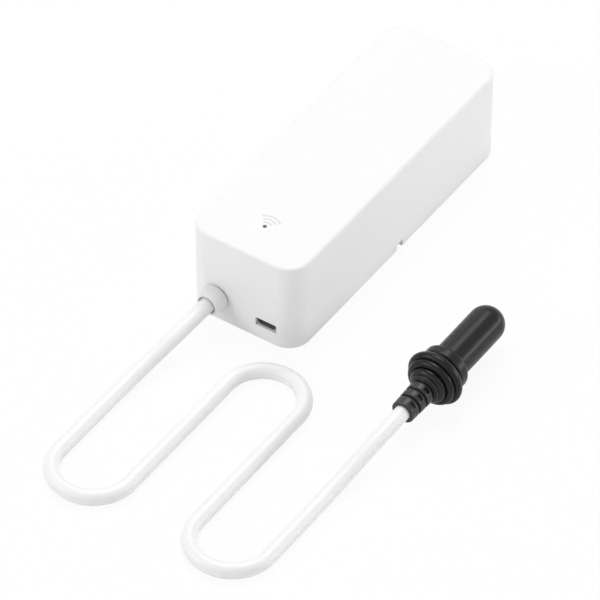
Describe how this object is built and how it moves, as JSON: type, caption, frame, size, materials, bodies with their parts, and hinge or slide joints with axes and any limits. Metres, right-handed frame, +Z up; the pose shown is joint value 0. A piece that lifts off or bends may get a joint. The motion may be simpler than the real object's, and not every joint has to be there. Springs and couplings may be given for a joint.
{
  "type": "temperature humidity sensor",
  "caption": "White elongated sensor box with a micro USB port, a status light and a round cord to a black probe.",
  "frame": {"origin": "on the table, under the middle of the box", "axes": "+Z up, +Y along the box away from the port and gland end, +X to the right seen from that end"},
  "size_m": [0.0946, 0.2047, 0.033],
  "materials": {
    "case_plastic": "satin moulded white",
    "cover_plastic": "satin moulded white",
    "gland_plastic": "smooth white nylon",
    "seal_rubber": "soft pale grey",
    "cord_jacket": "smooth white jacket",
    "probe_rubber": "satin black",
    "probe_plastic": "semi-gloss black",
    "lens_plastic": "smoky clear",
    "solder_mask": "green board lacquer",
    "chip_epoxy": "black moulding",
    "tinned_steel": "bright tinned sheet",
    "socket_steel": "dull dark plating",
    "zinc_steel": "zinc plated",
    "cell_wrap": "blue shrink sleeve",
    "holder_plastic": "black moulded",
    "lamp_body": "pale lamp package",
    "connector_plastic": "cream nylon",
    "wire_jacket": "thin wire insulation"
  },
  "bodies": {
    "case": {"case_shell": "case_plastic", "light_pipe": "lens_plastic", "main_board": "solder_mask", "board_screws": "zinc_steel", "usb_shell": "socket_steel", "usb_tongue": "chip_epoxy", "status_lamp": "lamp_body", "radio_board": "solder_mask", "radio_can": "tinned_steel", "board_chips": "chip_epoxy", "board_coil": "chip_epoxy", "switch_body": "chip_epoxy", "cell_holder": "holder_plastic", "holder_screws": "zinc_steel", "battery_cell": "cell_wrap", "negative_contact": "tinned_steel", "positive_contact": "tinned_steel", "cell_wires": "wire_jacket", "gland_cap": "gland_plastic", "gland_body": "gland_plastic", "gland_seal": "seal_rubber", "gland_locknut": "gland_plastic", "cord_inner_end": "cord_jacket", "lead_wires": "wire_jacket", "lead_plug": "connector_plastic", "lead_header": "connector_plastic", "sensor_cord": "cord_jacket", "probe_boot": "probe_rubber", "probe_collar": "probe_plastic", "probe_cap": "probe_plastic", "probe_plug": "connector_plastic", "probe_board": "solder_mask", "sensor_chip": "chip_epoxy", "cord_probe_end": "cord_jacket"},
    "cover": {"bottom_cover": "cover_plastic"},
    "plunger": {"switch_plunger": "connector_plastic"}
  },
  "joints": [
    {"name": "cover_lift", "type": "slide", "parent": "case", "child": "cover", "axis": [0, 0, -1], "range_m": [0, 0.05]},
    {"name": "switch_press", "type": "slide", "parent": "case", "child": "plunger", "axis": [0, 0, 1], "range_m": [0, 0.00025], "stiffness_N_per_m": 4000}
  ]
}
